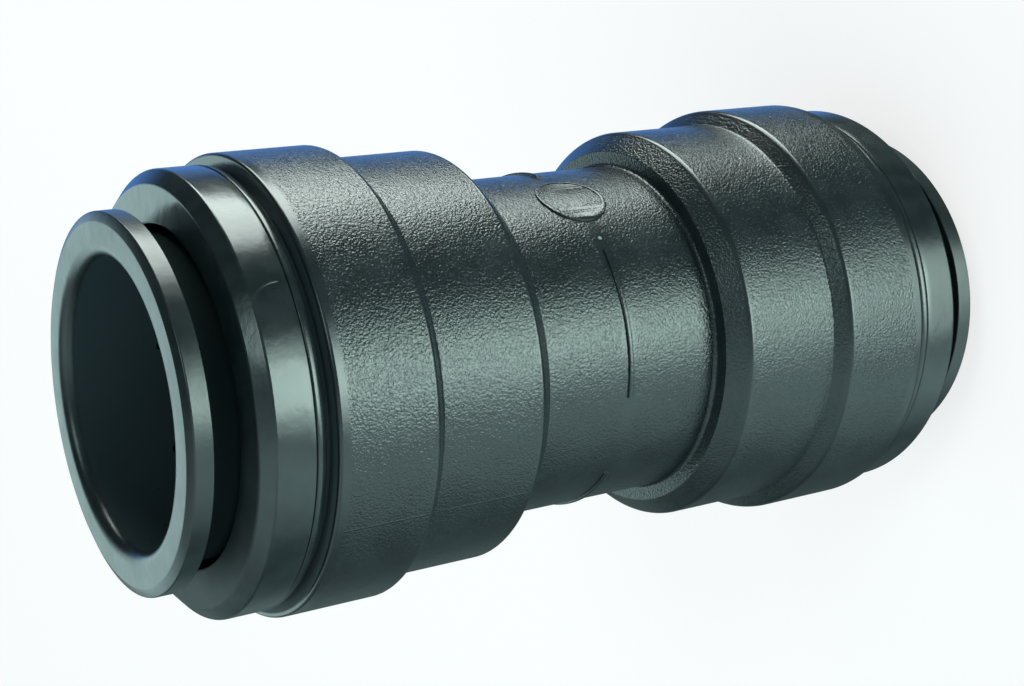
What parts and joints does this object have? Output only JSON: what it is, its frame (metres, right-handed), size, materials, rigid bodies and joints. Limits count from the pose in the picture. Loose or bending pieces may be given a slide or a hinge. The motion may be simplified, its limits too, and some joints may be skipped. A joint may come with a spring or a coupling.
{
  "type": "push-in tube connector",
  "caption": "Straight equal push-in connector for plastic air tube, with a necked moulded body, end caps and release collets that slide in.",
  "frame": {"origin": "middle of the body, on the tube axis", "axes": "+Z along the tube axis, up through the upper collet; +X and +Y across it"},
  "size_m": [0.036, 0.036, 0.0746],
  "materials": {
    "body_acetal": "black acetal, fine spark-grained moulding",
    "smooth_acetal": "black acetal, smooth semi-gloss moulding",
    "washer_acetal": "dark acetal, plain moulding",
    "nitrile": "black nitrile rubber, lightly greased",
    "stainless": "stainless spring steel, stamped"
  },
  "bodies": {
    "housing": {"body": "body_acetal", "upper_end_cap": "smooth_acetal", "upper_seal_ring": "nitrile", "upper_spacer_washer": "washer_acetal", "lower_end_cap": "smooth_acetal", "lower_seal_ring": "nitrile", "lower_spacer_washer": "washer_acetal"},
    "upper_release": {"upper_collet": "smooth_acetal", "upper_grip_tooth_1": "stainless", "upper_grip_tooth_2": "stainless", "upper_grip_tooth_3": "stainless", "upper_grip_tooth_4": "stainless", "upper_grip_tooth_5": "stainless", "upper_grip_tooth_6": "stainless", "upper_grip_tooth_7": "stainless", "upper_grip_tooth_8": "stainless"},
    "lower_release": {"lower_collet": "smooth_acetal", "lower_grip_tooth_1": "stainless", "lower_grip_tooth_2": "stainless", "lower_grip_tooth_3": "stainless", "lower_grip_tooth_4": "stainless", "lower_grip_tooth_5": "stainless", "lower_grip_tooth_6": "stainless", "lower_grip_tooth_7": "stainless", "lower_grip_tooth_8": "stainless"}
  },
  "joints": [
    {"name": "upper_collet_slide", "type": "slide", "parent": "housing", "child": "upper_release", "axis": [0, 0, -1], "range_m": [0, 0.0022]},
    {"name": "lower_collet_slide", "type": "slide", "parent": "housing", "child": "lower_release", "axis": [0, 0, 1], "range_m": [0, 0.0022]}
  ]
}
